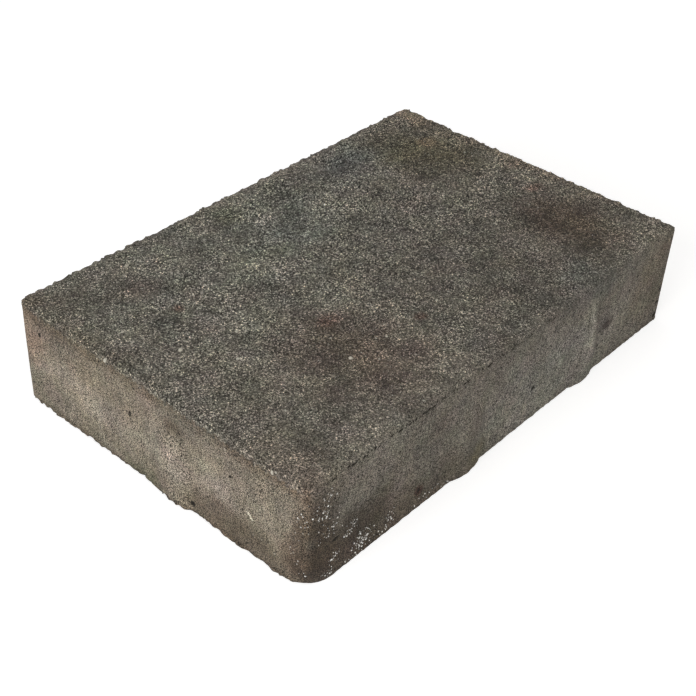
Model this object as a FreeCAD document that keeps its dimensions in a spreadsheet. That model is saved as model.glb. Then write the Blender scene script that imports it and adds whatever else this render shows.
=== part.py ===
# A pressed concrete paving slab for a 300 x 200 mm laying module, cast as one solid.
# Frame: the origin is the centre of the bed face. +X runs along the slab's length, +Y across its
# width, and +Z up to the wearing face. Millimetres.
import FreeCAD, Part
import math
import os
import sys

import Sketcher

V = FreeCAD.Vector

# The driving dimensions, in millimetres. Each becomes a cell of the sheet, under its own alias.
SIZES = {
    "slab_length": 297.0,  # the module of 300 less its 3 mm joint
    "slab_width": 197.0,  # the module of 200 less its 3 mm joint
    "slab_thickness": 62.0,
    "corner_radius": 3.0,  # the upright corners as the mould makes them
    "worn_radius": 5.0,  # the front left upright corner, which is worn rounder
    "top_arris": 1.5,  # the rounding between the wearing face and the sides
    "nib_chord": 24.0,  # width of a spacer nib where it meets the side
    "nib_depth": 2.4,  # how far a nib stands out, which sets the joint
    "nib_height": 42.0,  # from the bed face to where a nib runs out
    "nib_taper": 7.0,  # the sloping top of a nib
    "nib_long_place": 114.0,  # first nib of a long side, from the slab's front left corner
    "nib_long_pitch": 102.0,  # from the first to the second nib of a long side
    "nib_short_place": 87.0,  # the nib of a short side, from the slab's front left corner
    "chip_reach": 16.0,  # radius left by the knock at the foot of the front left corner
    "chip_height": 14.0,  # height at which that corner is whole again
}
PARTS_FOLDER = "parts"


def make_sheet(doc):
    """Return the spreadsheet that holds every driving dimension."""
    sheet = doc.addObject("Spreadsheet::Sheet", "Sheet")
    for row, (alias, value) in enumerate(SIZES.items(), start=1):
        sheet.set(f"A{row}", alias)
        sheet.set(f"B{row}", str(value))
        sheet.setAlias(f"B{row}", alias)
    doc.recompute()
    return sheet


def origin_feature(body, role):
    """Return the body's own origin plane or axis of that role."""
    return next(f for f in body.Origin.OriginFeatures if f.Role == role)


def new_sketch(body, name, role, offset=None):
    """Return an empty sketch on an origin plane, moved by the expressions in offset."""
    sketch = body.newObject("Sketcher::SketchObject", name)
    sketch.AttachmentSupport = [(origin_feature(body, role), "")]
    sketch.MapMode = "FlatFace"
    for axis, expression in (offset or {}).items():
        sketch.setExpression(f".AttachmentOffset.Base.{axis}", expression)
    return sketch


def bind(sketch, kind, *places, expression, name):
    """Add a dimension to a sketch and tie it to an expression."""
    index = sketch.addConstraint(Sketcher.Constraint(kind, *places, 1.0))
    sketch.renameConstraint(index, name)
    sketch.setExpression(f"Constraints.{name}", expression)


def add_polygon(sketch, points):
    """Add a closed polygon to a sketch, its corners held together."""
    count = len(points)
    for i in range(count):
        sketch.addGeometry(Part.LineSegment(points[i], points[(i + 1) % count]))
    for i in range(count):
        sketch.addConstraint(Sketcher.Constraint("Coincident", i, 2, (i + 1) % count, 1))


def is_upright(edge):
    """Say whether an edge runs straight up."""
    return abs(edge.tangentAt(edge.FirstParameter).z) > 0.99


def is_worn_corner(edge):
    """Say whether an edge is the sharp upright one at the front left."""
    return is_upright(edge) and edge.BoundBox.XMax < 0 and edge.BoundBox.YMax < 0


def is_mould_corner(edge):
    """Say whether an edge is one of the other three upright ones."""
    return is_upright(edge) and not is_worn_corner(edge)


def is_wearing_rim(edge):
    """Say whether an edge bounds the wearing face."""
    return edge.BoundBox.ZMin > SIZES["slab_thickness"] - 0.01


def add_fillet(body, name, base, chosen, radius):
    """Round the edges of the base feature that chosen() picks, to the expression radius."""
    body.Document.recompute()
    edges = enumerate(base.Shape.Edges, start=1)
    fillet = body.newObject("PartDesign::Fillet", name)
    fillet.Base = (base, [f"Edge{number}" for number, edge in edges if chosen(edge)])
    fillet.setExpression("Radius", radius)
    return fillet


def add_block(body):
    """Add the rectangular block: the outline, padded to the thickness, with rounded corners."""
    half_x, half_y = SIZES["slab_length"] / 2, SIZES["slab_width"] / 2
    sketch = new_sketch(body, "OutlineSketch", "XY_Plane")
    corners = [V(-half_x, -half_y), V(half_x, -half_y), V(half_x, half_y), V(-half_x, half_y)]
    add_polygon(sketch, corners)
    front, right, back, left = range(4)
    for side in (front, back):
        sketch.addConstraint(Sketcher.Constraint("Horizontal", side))
    for side in (right, left):
        sketch.addConstraint(Sketcher.Constraint("Vertical", side))
    sketch.addConstraint(Sketcher.Constraint("Symmetric", front, 1, back, 1, -1, 1))
    bind(sketch, "DistanceX", front, 1, front, 2, expression="Sheet.slab_length", name="Length")
    bind(sketch, "DistanceY", right, 1, right, 2, expression="Sheet.slab_width", name="Width")

    block = body.newObject("PartDesign::Pad", "Block")
    block.Profile = sketch
    block.setExpression("Length", "Sheet.slab_thickness")
    mould = add_fillet(body, "MouldCorners", block, is_mould_corner, "Sheet.corner_radius")
    add_fillet(body, "WornCorner", mould, is_worn_corner, "Sheet.worn_radius")


def add_nib(body, name, axis_x, axis_y):
    """Add a spacer nib as a short upright round boss, most of it inside the slab.

    Only the segment outside the side face shows. Its top is a cone that meets the face at
    nib_height. The boss's axis stands at the two expressions given.
    """
    boss_radius = "(Sheet.nib_chord ^ 2 / (8 * Sheet.nib_depth) + Sheet.nib_depth / 2)"
    offset = {"x": axis_x.format(radius=boss_radius), "z": f"-({axis_y.format(radius=boss_radius)})"}
    sketch = new_sketch(body, f"{name}Sketch", "XZ_Plane", offset)
    depth, height, taper = SIZES["nib_depth"], SIZES["nib_height"], SIZES["nib_taper"]
    radius = SIZES["nib_chord"] ** 2 / (8 * depth) + depth / 2
    profile = [
        V(0, 0),
        V(radius, 0),
        V(radius, height - taper),
        V(radius - depth, height),
        V(0, height),
    ]
    add_polygon(sketch, profile)
    foot, outside, slope, top, axis = range(5)
    sketch.addConstraint(Sketcher.Constraint("Coincident", foot, 1, -1, 1))
    for side in (foot, top):
        sketch.addConstraint(Sketcher.Constraint("Horizontal", side))
    for side in (outside, axis):
        sketch.addConstraint(Sketcher.Constraint("Vertical", side))
    bind(sketch, "DistanceX", foot, 1, foot, 2, expression=boss_radius, name="BossRadius")
    bind(sketch, "DistanceX", slope, 2, slope, 1, expression="Sheet.nib_depth", name="Depth")
    bind(sketch, "DistanceY", slope, 1, slope, 2, expression="Sheet.nib_taper", name="Taper")
    bind(sketch, "DistanceY", axis, 2, axis, 1, expression="Sheet.nib_height", name="Height")

    nib = body.newObject("PartDesign::Revolution", name)
    nib.Profile = sketch
    nib.ReferenceAxis = (sketch, ["V_Axis"])
    nib.Angle = 360.0
    return nib


def add_nibs(body):
    """Add two nibs to a long side and one to a short side, and the same again half a turn round.

    The places aren't symmetrical about the middle of a side, so that the nibs of two slabs laid
    side by side pass each other and one nib's depth sets the joint.
    """
    front_axis = "-Sheet.slab_width / 2 + {radius} - Sheet.nib_depth"
    left_axis = "-Sheet.slab_length / 2 + {radius} - Sheet.nib_depth"
    first_place = "-Sheet.slab_length / 2 + Sheet.nib_long_place"
    side_place = "-Sheet.slab_width / 2 + Sheet.nib_short_place"
    nibs = [
        add_nib(body, "LongNibFirst", first_place, front_axis),
        add_nib(body, "LongNibSecond", f"{first_place} + Sheet.nib_long_pitch", front_axis),
        add_nib(body, "ShortNib", left_axis, side_place),
    ]
    body.Document.recompute()
    half_turn = body.newObject("PartDesign::PolarPattern", "NibsHalfTurn")
    half_turn.Originals = nibs
    half_turn.Axis = (origin_feature(body, "Z_Axis"), [""])
    half_turn.Angle = 360.0
    half_turn.Occurrences = 2
    body.Tip = half_turn


def chip_section(body, name, height, radius):
    """Return a sketch, at that height, of what lies outside an arc round the front left corner.

    The sketch's own origin is the corner where the two faces would meet if it weren't rounded.
    The section runs past both faces by the arc's own radius.
    """
    offset = {"x": "-Sheet.slab_length / 2", "y": "-Sheet.slab_width / 2", "z": height}
    sketch = new_sketch(body, name, "XY_Plane", offset)
    size = SIZES["worn_radius"]
    points = [V(0, size), V(-size, size), V(-size, -size), V(size, -size), V(size, 0)]
    for start, end in zip(points, points[1:]):
        sketch.addGeometry(Part.LineSegment(start, end))
    circle = Part.Circle(V(size, size), V(0, 0, 1), size)
    arc = sketch.addGeometry(Part.ArcOfCircle(circle, math.pi, 1.5 * math.pi))
    upper, outer, lower, riser = range(4)
    for first, second in ((upper, outer), (outer, lower), (lower, riser)):
        sketch.addConstraint(Sketcher.Constraint("Coincident", first, 2, second, 1))
    sketch.addConstraint(Sketcher.Constraint("Coincident", arc, 1, upper, 1))
    sketch.addConstraint(Sketcher.Constraint("Coincident", arc, 2, riser, 2))
    for side in (upper, lower):
        sketch.addConstraint(Sketcher.Constraint("Horizontal", side))
    for side in (outer, riser):
        sketch.addConstraint(Sketcher.Constraint("Vertical", side))
    sketch.addConstraint(Sketcher.Constraint("Horizontal", arc, 1, arc, 3))
    sketch.addConstraint(Sketcher.Constraint("Vertical", arc, 2, arc, 3))
    sketch.addConstraint(Sketcher.Constraint("PointOnObject", arc, 1, -2))
    bind(sketch, "DistanceX", -1, 1, arc, 3, expression=radius, name="CentreX")
    bind(sketch, "DistanceY", -1, 1, arc, 3, expression=radius, name="CentreY")
    bind(sketch, "DistanceX", outer, 1, -1, 1, expression=radius, name="PastLeft")
    bind(sketch, "DistanceY", outer, 2, -1, 1, expression=radius, name="PastFront")
    return sketch


def add_chip(body):
    """Cut away the knock at the foot of the front left corner.

    The corner's radius grows from worn_radius at chip_height to chip_reach at the bed face.
    """
    foot = chip_section(body, "ChipFootSketch", "0", "Sheet.chip_reach")
    head = chip_section(body, "ChipHeadSketch", "Sheet.chip_height", "Sheet.worn_radius")
    body.Document.recompute()
    chip = body.newObject("PartDesign::SubtractiveLoft", "Chip")
    chip.Profile = foot
    chip.Sections = [head]
    chip.Ruled = True
    return chip


def make_slab(doc):
    """Return the body of the whole slab."""
    body = doc.addObject("PartDesign::Body", "PavingSlab")
    body.Label = "paving_slab"
    add_block(body)
    add_nibs(body)
    chip = add_chip(body)
    body.Tip = add_fillet(body, "TopArris", chip, is_wearing_rim, "Sheet.top_arris")
    doc.recompute()
    return body


def check_document(doc, bodies):
    """Stop if a feature failed, a sketch can still move or a body isn't one valid closed solid."""
    failed = [o.Name for o in doc.Objects if {"Invalid", "Error"} & set(o.State)]
    if failed:
        sys.exit(f"these features failed: {failed}")
    sketches = [o for o in doc.Objects if o.isDerivedFrom("Sketcher::SketchObject")]
    loose = [sketch.Name for sketch in sketches if sketch.solve() or not sketch.FullyConstrained]
    if loose:
        sys.exit(f"these sketches are not fully constrained: {loose}")
    for body in bodies:
        shape = body.Shape
        if shape.isNull() or not shape.isValid() or len(shape.Solids) != 1:
            sys.exit(f"{body.Label} is not one valid solid")
        print(f"{body.Label}: volume {shape.Volume:.1f} mm3, box {shape.BoundBox}")


def main():
    """Make the document, check it, and write each body as a STEP file of its own."""
    doc = FreeCAD.newDocument("PavingSlab")
    make_sheet(doc)
    bodies = [make_slab(doc)]
    check_document(doc, bodies)
    os.makedirs(PARTS_FOLDER, exist_ok=True)
    for body in bodies:
        body.Shape.exportStep(os.path.join(PARTS_FOLDER, f"{body.Label}.step"))


main()
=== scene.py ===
"""A weathered, pressed concrete paving slab on a pale floor under plain studio light.

Lengths are millimetres in the slab's own frame, and become metres only where a mesh, lamp or camera
is made. The slab lies flat: +X along its length, +Y across its width and +Z up to its wearing face.
"""
import logging
import math
from dataclasses import dataclass, field
from enum import Enum
from typing import Iterable, Optional, Sequence, Union

import bpy
import numpy as np
from mathutils import Matrix, Vector


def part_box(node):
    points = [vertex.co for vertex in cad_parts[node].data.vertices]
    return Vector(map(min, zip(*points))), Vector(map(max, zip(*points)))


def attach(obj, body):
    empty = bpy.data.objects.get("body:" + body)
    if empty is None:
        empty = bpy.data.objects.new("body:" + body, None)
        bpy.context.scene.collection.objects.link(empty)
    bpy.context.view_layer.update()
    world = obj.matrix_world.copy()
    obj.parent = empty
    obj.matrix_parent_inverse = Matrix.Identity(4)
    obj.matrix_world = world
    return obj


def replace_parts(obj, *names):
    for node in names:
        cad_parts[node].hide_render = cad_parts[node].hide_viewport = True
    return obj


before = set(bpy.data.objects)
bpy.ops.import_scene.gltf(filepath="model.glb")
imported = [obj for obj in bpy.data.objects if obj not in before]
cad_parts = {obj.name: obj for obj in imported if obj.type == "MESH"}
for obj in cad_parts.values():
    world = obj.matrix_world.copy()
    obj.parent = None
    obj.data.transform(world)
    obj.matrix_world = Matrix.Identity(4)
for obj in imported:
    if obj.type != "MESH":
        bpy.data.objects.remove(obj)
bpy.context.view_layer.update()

log = logging.getLogger("paving_slab")

MM = 0.001
NODE = "paving_slab"
BODY = "root"

Triple = tuple[float, float, float]
Colour = tuple[float, float, float, float]
Socket = bpy.types.NodeSocket
Input = Union[Socket, float, Triple, Colour]
Outputs = bpy.types.bpy_prop_collection
Layers = tuple[tuple[float, Union[float, Triple]], ...]

WHITE: Colour = (1.0, 1.0, 1.0, 1.0)
SOCKET_KINDS = {
    "Place": "Vector", "Half Size": "Vector", "Middle": "Vector", "Reach": "Vector", "Hue": "Color"
}
CELL_PUSH = 0.9


def tone(red: float, green: float, blue: float) -> Colour:
    """Turn a display colour of 0 to 255 a channel into the linear colour that a socket takes.

    Args:
        red: The red channel.
        green: The green channel.
        blue: The blue channel.

    Returns:
        The linear colour, with full alpha.
    """

    def linear(channel: float) -> float:
        """Return one channel's share of full light."""
        share = channel / 255
        return share / 12.92 if share <= 0.04045 else ((share + 0.055) / 1.055) ** 2.4

    return linear(red), linear(green), linear(blue), 1.0


def smooth_step(low: float, high: float, values: np.ndarray) -> np.ndarray:
    """Rise smoothly from 0 at low to 1 at high, or fall if low is the larger.

    Args:
        low: Where the result is 0.
        high: Where the result is 1.
        values: The values to read.

    Returns:
        The smoothed share for each value.
    """
    share = np.clip((values - low) / (high - low), 0, 1)
    return share * share * (3 - 2 * share)


def lattice_noise(places: np.ndarray, size: Union[float, Triple], seed: int) -> np.ndarray:
    """Return smooth noise from -1 to 1, the same for the same seed on every run.

    Args:
        places: The points, one a row.
        size: The width of one bump, or its width along each axis.
        seed: Which noise this is.

    Returns:
        One value for each point.
    """
    scaled = places / np.asarray(size) + 31.7 * seed
    cell = np.floor(scaled)
    share = scaled - cell
    share = share * share * (3 - 2 * share)
    cell = cell.astype(np.int64).astype(np.uint32)
    total = np.zeros(len(places))
    for corner in np.ndindex(2, 2, 2):
        at = cell + np.array(corner, np.uint32)
        mixed = at[:, 0] * np.uint32(73856093) ^ at[:, 1] * np.uint32(19349663)
        mixed = mixed ^ at[:, 2] * np.uint32(83492791) ^ np.uint32(seed * 977 + 11)
        mixed = (mixed ^ mixed >> np.uint32(13)) * np.uint32(1274126177)
        value = (mixed ^ mixed >> np.uint32(16)) % np.uint32(65536) / 32767.5 - 1
        total += value * np.where(corner, share, 1 - share).prod(axis=1)
    return total


# ---- Wiring of shader nodes ----


class Wiring:
    """Adds nodes to one shader tree and joins their sockets."""

    def __init__(self, tree: bpy.types.NodeTree) -> None:
        """Start on an empty tree."""
        self.tree = tree
        tree.nodes.clear()

    def put(self, socket: Socket, value: Input) -> None:
        """Link a socket to another one, or set its own value.

        Args:
            socket: The input to fill.
            value: The output to link to it, or the plain value to give it.
        """
        if isinstance(value, Socket):
            self.tree.links.new(value, socket)
        else:
            socket.default_value = value

    def add(self, kind: str, inputs: Optional[dict] = None, **settings) -> bpy.types.Node:
        """Add one node.

        Args:
            kind: The node's type without its ShaderNode prefix.
            inputs: Values or sockets by the input's name or number.
            **settings: The node's own properties.

        Returns:
            The new node.
        """
        node = self.tree.nodes.new(kind if kind.startswith("Node") else f"ShaderNode{kind}")
        for name, value in settings.items():
            setattr(node, name, value)
        for name, value in (inputs or {}).items():
            self.put(node.inputs[name], value)
        return node

    def math(self, operation: str, *values: Input, clamp: bool = False) -> Socket:
        """Return the result of a Math node."""
        return self.add("Math", dict(enumerate(values)), operation=operation, use_clamp=clamp).outputs[0]

    def times(self, first: Input, second: Input) -> Socket:
        """Return the product of two numbers."""
        return self.math("MULTIPLY", first, second)

    def minus(self, first: Input, second: Input) -> Socket:
        """Return the first number less the second."""
        return self.math("SUBTRACT", first, second)

    def line(self, value: Input, slope: Input, start: Input) -> Socket:
        """Return a number times a slope, plus a start."""
        return self.math("MULTIPLY_ADD", value, slope, start)

    def vector(self, operation: str, *values: Input) -> Socket:
        """Return the vector result of a Vector Math node."""
        return self.add("VectorMath", dict(enumerate(values)), operation=operation).outputs[0]

    def scaled(self, vector: Input, factor: float) -> Socket:
        """Return a vector times one number."""
        return self.add("VectorMath", {0: vector, "Scale": factor}, operation="SCALE").outputs[0]

    def split(self, vector: Input) -> Outputs:
        """Return a vector's X, Y and Z."""
        return self.add("SeparateXYZ", {0: vector}).outputs

    def mix(self, share: Input, first: Input, second: Input, blend: str = "MIX") -> Socket:
        """Return the blend of two colours, or their product and so on."""
        node = self.add("Mix", {0: share, 6: first, 7: second}, data_type="RGBA", blend_type=blend)
        return node.outputs[2]

    def tinted(self, colour: Input, factor: Input) -> Socket:
        """Return a colour times a factor."""
        return self.mix(1.0, colour, factor, "MULTIPLY")

    def blend(self, share: Input, first: Input, second: Input) -> Socket:
        """Return the blend of two numbers."""
        return self.add("Mix", {0: share, 2: first, 3: second}, data_type="FLOAT").outputs[0]

    def spread(
        self, value: Input, low: float, high: float, to_low: Input = 0.0, to_high: Input = 1.0
    ) -> Socket:
        """Return a value stretched smoothly from one range to another and held at its ends."""
        inputs = {"Value": value, "From Min": low, "From Max": high, "To Min": to_low, "To Max": to_high}
        return self.add("MapRange", inputs, interpolation_type="SMOOTHSTEP").outputs[0]

    def noise(self, place: Input, size: float, detail: float, rough: float = 0.5) -> Outputs:
        """Return the outputs of a Noise Texture node whose bumps are about size across."""
        inputs = {"Vector": place, "Scale": 1 / size, "Detail": detail, "Roughness": rough}
        return self.add("TexNoise", inputs).outputs

    def wave(self, place: Input, size: float, detail: float, rough: float = 0.5) -> Socket:
        """Return noise of one size about a mean of 0."""
        return self.minus(self.noise(place, size, detail, rough)[0], 0.5)

    def drift(self, place: Input, size: float, detail: float, rough: float = 0.5) -> Socket:
        """Return three noises of one size as a vector, each about a mean of 0."""
        return self.vector("SUBTRACT", self.noise(place, size, detail, rough)["Color"], (0.5, 0.5, 0.5))

    def cells(self, place: Input, size: Input) -> Outputs:
        """Return the outputs of a Voronoi Texture node whose cells are about size across."""
        return self.add("TexVoronoi", {"Vector": place, "Scale": self.math("DIVIDE", 1.0, size)}).outputs

    def uneven_cells(self, place: Input, wander: float, *sizes: Input) -> list[Outputs]:
        """Return the cells of each size at a place that small noise pushes about."""
        uneven = self.vector("ADD", place, self.scaled(self.drift(place, wander, 1.0), CELL_PUSH))
        return [self.cells(uneven, size) for size in sizes]

    def draws(self, cells: Outputs) -> Outputs:
        """Return the three random numbers of each cell."""
        return self.add("SeparateColor", {0: cells["Color"]}).outputs

    def ramp(self, value: Input, stops: Sequence[tuple[float, Colour]]) -> Socket:
        """Send a number through a colour ramp.

        Args:
            value: The number, from 0 to 1.
            stops: Pairs of a place on the ramp and the colour there.

        Returns:
            The colour.
        """
        node = self.add("ValToRGB", {0: value})
        elements = node.color_ramp.elements
        while len(elements) < len(stops):
            elements.new(1.0)
        for element, (place, colour) in zip(elements, stops):
            element.position = place
            element.color = colour
        return node.outputs[0]

    def shown(self) -> Socket:
        """Return 1 on what the camera sees straight, in gloss or through glass, and 0 in other light."""
        light = self.add("LightPath").outputs
        seen = self.math("MAXIMUM", light["Is Camera Ray"], light["Is Glossy Ray"])
        return self.math("MAXIMUM", seen, light["Is Transmission Ray"])

    def group(self, tree: bpy.types.NodeTree, **inputs: Input) -> Outputs:
        """Place a node group.

        Args:
            tree: The group's tree.
            **inputs: Its inputs by name, where an underscore stands for a space.

        Returns:
            The outputs of the group's node.
        """
        node = self.add("Group", node_tree=tree)
        for name, value in inputs.items():
            self.put(node.inputs[name.replace("_", " ")], value)
        return node.outputs


def new_group(name: str, inputs: Sequence[str], outputs: Sequence[str]) -> tuple[Wiring, Outputs]:
    """Make an empty shader node group, whose sockets hold numbers unless SOCKET_KINDS says otherwise.

    Args:
        name: The group's name.
        inputs: The names of its inputs.
        outputs: The names of its outputs.

    Returns:
        The wiring of the group's tree, and what is given to it.
    """
    tree = bpy.data.node_groups.new(name, "ShaderNodeTree")
    for direction, names in (("INPUT", inputs), ("OUTPUT", outputs)):
        for socket in names:
            kind = f"NodeSocket{SOCKET_KINDS.get(socket, 'Float')}"
            tree.interface.new_socket(socket, in_out=direction, socket_type=kind)
    wiring = Wiring(tree)
    return wiring, wiring.add("NodeGroupInput").outputs


def close_group(wiring: Wiring, **outputs: Input) -> bpy.types.NodeTree:
    """Join a group's results to its outputs.

    Args:
        wiring: The wiring of the group's tree.
        **outputs: The results by the output's name.

    Returns:
        The finished tree.
    """
    wiring.add("NodeGroupOutput", outputs)
    return wiring.tree


def new_material(name: str) -> tuple[bpy.types.Material, Wiring]:
    """Start a material on an empty tree.

    Args:
        name: The material's name.

    Returns:
        The material and the wiring of its tree.
    """
    material = bpy.data.materials.new(name)
    material.use_nodes = True
    return material, Wiring(material.node_tree)


def sand_group() -> bpy.types.NodeTree:
    """Sand grains packed in cement: a level for each grain, its relief and its glint.

    Returns:
        The node group.
    """
    wiring, given = new_group("Packed sand", ("Place", "Size"), ("Level", "Relief", "Glint"))
    half_size = wiring.times(given["Size"], 0.5)
    coarse, fine = wiring.uneven_cells(given["Place"], 1.1, given["Size"], half_size)
    dome, small_dome = (wiring.spread(cells["Distance"], 0.75, 0.1) for cells in (coarse, fine))
    level_draw, height_draw, glint_draw = wiring.draws(coarse)
    level = wiring.blend(0.3, level_draw, wiring.draws(fine)[0])
    relief = wiring.blend(0.4, wiring.times(dome, wiring.math("ADD", height_draw, 0.25)), small_dome)
    chosen = wiring.spread(glint_draw, 0.95, 0.97)
    glint = wiring.times(chosen, wiring.spread(coarse["Distance"], 0.5, 0.3))
    return close_group(wiring, Level=level, Relief=relief, Glint=glint)


def paste_group() -> bpy.types.NodeTree:
    """Set cement paste: a fine unevenness of tone with no grain outlines, about a mean of 1.

    Returns:
        The node group.
    """
    wiring, given = new_group("Cement paste", ("Place",), ("Level",))
    fine = wiring.line(wiring.wave(given["Place"], 0.54, 3.0, 0.7), 7.6, 1.0)
    return close_group(wiring, Level=wiring.line(wiring.wave(given["Place"], 2.2, 2.0, 0.6), 0.4, fine))


def mottling_group() -> bpy.types.NodeTree:
    """Uneven tone of three sizes, and a faint drift of hue, both about a mean of 0.

    Returns:
        The node group.
    """
    wiring, given = new_group("Mottling", ("Place",), ("Level", "Hue"))
    level = 0.0
    for size, weight in ((2.6, 0.64), (7.0, 2.0), (22.0, 3.6)):
        level = wiring.line(wiring.wave(given["Place"], size, 2.0, 0.55), weight, level)
    return close_group(wiring, Level=level, Hue=wiring.drift(given["Place"], 15.0, 3.0, 0.6))


def pore_group() -> bpy.types.NodeTree:
    """Small round air holes: which share of the holes there are, and how wide they are.

    Returns:
        The node group.
    """
    wiring, given = new_group("Air pores", ("Place", "Spacing", "Width", "Share"), ("Mask",))
    (holes,) = wiring.uneven_cells(given["Place"], 0.7, given["Spacing"])
    draws = wiring.draws(holes)
    radius = wiring.math("DIVIDE", given["Width"], given["Spacing"])
    radius = wiring.times(radius, wiring.math("ADD", draws[1], 0.35))
    open_hole = wiring.spread(wiring.minus(radius, holes["Distance"]), -0.03, 0.05)
    present = wiring.math("LESS_THAN", draws[0], given["Share"])
    return close_group(wiring, Mask=wiring.times(open_hole, present))


def stain_and_light_group() -> bpy.types.NodeTree:
    """One cloud of colour: a mask that fades from its middle to its reach.

    Returns:
        The node group.
    """
    wiring, given = new_group("Stain cloud", ("Place", "Middle", "Reach", "Strength"), ("Mask",))
    away = wiring.vector("SUBTRACT", given["Place"], given["Middle"])
    away = wiring.vector("DIVIDE", away, given["Reach"])
    distance = wiring.add("VectorMath", {0: away}, operation="LENGTH").outputs["Value"]
    return close_group(wiring, Mask=wiring.times(wiring.spread(distance, 1.2, 0.2), given["Strength"]))


def streak_group() -> bpy.types.NodeTree:
    """Upright drag marks of the mould wall, from -1 to 1 about a mean of 0.

    Returns:
        The node group.
    """
    wiring, given = new_group("Mould streaks", ("Place", "Width"), ("Level",))
    drawn_out = wiring.vector("MULTIPLY", given["Place"], (1.0, 1.0, 0.16))
    across = wiring.vector("DIVIDE", drawn_out, given["Width"])
    return close_group(wiring, Level=wiring.times(wiring.wave(across, 1.0, 3.0, 0.62), 2.0))


def zone_group() -> bpy.types.NodeTree:
    """Which part of the slab a place is on, each zone as a mask with a broken outline.

    Returns:
        The node group.
    """
    zones = ("Wearing", "Short", "Bed", "Brow", "Foot", "Arris")
    wiring, given = new_group("Slab zones", ("Place", "Half Size"), zones)
    place, half = given["Place"], given["Half Size"]
    inset_x, inset_y, _ = wiring.split(wiring.vector("SUBTRACT", half, wiring.vector("ABSOLUTE", place)))
    along, across, height = wiring.split(place)
    drop = wiring.minus(wiring.split(half)[2], height)
    crumble = wiring.wave(place, 2.4, 3.0, 0.6)
    short = wiring.spread(wiring.minus(inset_x, inset_y), 1.5, -1.5)
    blurred = wiring.line(crumble, wiring.line(short, 9.0, 3.0), drop)
    wearing = wiring.spread(wiring.minus(blurred, wiring.line(short, 2.6, 1.5)), 0.7, -0.7)
    smeared = wiring.spread(wiring.line(crumble, 12.0, inset_y), 5.0, 0.5, 0.0, 0.65)
    wearing = wiring.times(wearing, wiring.minus(1.0, smeared))
    edge = wiring.math("MINIMUM", inset_x, inset_y)
    bed = wiring.times(wiring.spread(height, 1.2, 0.6), wiring.spread(edge, 0.8, 1.8))
    cloud = wiring.wave(place, 8.0, 3.0, 0.65)
    brow = wiring.spread(wiring.line(cloud, 15.0, drop), 13.0, 3.0)
    foot = wiring.spread(wiring.line(cloud, 7.0, height), 4.5, 0.2)
    arris = wiring.times(wiring.spread(drop, 2.8, 2.0), wiring.spread(drop, 0.5, 0.9))
    turned = wiring.times(along, wiring.math("SIGN", across))
    arris = wiring.times(arris, wiring.spread(turned, -70.0, 20.0))
    return close_group(wiring, Wearing=wearing, Short=short, Bed=bed, Brow=brow, Foot=foot, Arris=arris)


@dataclass(frozen=True)
class SharedGroups:
    """The shader node groups that the finishes share, each built once."""

    sand: bpy.types.NodeTree = field(default_factory=sand_group)
    paste: bpy.types.NodeTree = field(default_factory=paste_group)
    mottling: bpy.types.NodeTree = field(default_factory=mottling_group)
    pores: bpy.types.NodeTree = field(default_factory=pore_group)
    stain_and_light: bpy.types.NodeTree = field(default_factory=stain_and_light_group)
    streaks: bpy.types.NodeTree = field(default_factory=streak_group)
    zones: bpy.types.NodeTree = field(default_factory=zone_group)


# ---- Places on the slab ----


NIB_DEPTH = 2.4


def plain_size(axis: int, nibs: float) -> float:
    """Measure the construction's slab along one axis, without what its nibs add.

    Args:
        axis: 0 for X, 1 for Y or 2 for Z.
        nibs: How far the nibs stand out at each end, in millimetres.

    Returns:
        The size in whole millimetres.
    """
    low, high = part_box(NODE)
    return float(round((high[axis] - low[axis]) / MM - 2 * nibs))


LENGTH = plain_size(0, NIB_DEPTH)
WIDTH = plain_size(1, NIB_DEPTH)
THICKNESS = plain_size(2, 0.0)


class Side(Enum):
    """A face of the slab. FRONT and LEFT meet at the worn corner."""

    TOP = "top"
    FRONT = "front"
    LEFT = "left"
    BACK = "back"
    RIGHT = "right"

    def spot(self, along: float, up: float) -> Triple:
        """Return the place of a spot in the slab's frame.

        Args:
            along: How far it is along the face from the worn corner, or on the BACK and RIGHT from
                the corner opposite the worn one.
            up: How high it is, or on the TOP how far across from the front edge.

        Returns:
            The place in millimetres.
        """
        x, y = LENGTH / 2, WIDTH / 2
        return {
            Side.TOP: (along - x, up - y, THICKNESS),
            Side.FRONT: (along - x, -y, up),
            Side.LEFT: (-x, along - y, up),
            Side.BACK: (x - along, y, up),
            Side.RIGHT: (x, y - along, up),
        }[self]

    def reach(self, along: float, up: float, inwards: float) -> Triple:
        """Turn a reach on the face into the slab's own axes.

        Args:
            along: How far it goes along the face.
            up: How far it goes up the face.
            inwards: How far it goes into the slab.

        Returns:
            The reach along X, Y and Z.
        """
        if self is Side.TOP:
            return along, up, inwards
        return (along, inwards, up) if self in (Side.FRONT, Side.BACK) else (inwards, along, up)


@dataclass(frozen=True)
class Mark:
    """Something at one place on a side of the slab."""

    side: Side
    along: float
    up: float

    @property
    def place(self) -> Triple:
        """Return its place in the slab's frame."""
        return self.side.spot(self.along, self.up)


@dataclass(frozen=True)
class StainAndPaintedLight(Mark):
    """A cloud of colour, with its reach along and up the side: mostly stains, and at the nibs painted
    light and shade.
    """

    reach: tuple[float, float]
    colour: Colour
    strength: float


@dataclass(frozen=True)
class Dent(Mark):
    """A hollow, with its reach along and up the side and its depth."""

    reach: tuple[float, float]
    depth: float


@dataclass(frozen=True)
class CrumbCluster(Mark):
    """A splash of lime crumbs, with its reach along and up the side."""

    reach: tuple[float, float]
    count: int


@dataclass(frozen=True)
class Pebble(Mark):
    """A pale stone that shows at the surface."""

    radius: float


def placed(kind: type, side: Side, *rows: tuple) -> tuple:
    """Put things of one kind on one side of the slab.

    Args:
        kind: Stain, Dent, CrumbCluster or Pebble.
        side: The side.
        *rows: Each thing's other values, which start with how far along and how far up it is.

    Returns:
        The things.
    """
    return tuple(kind(side, *row) for row in rows)


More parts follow.
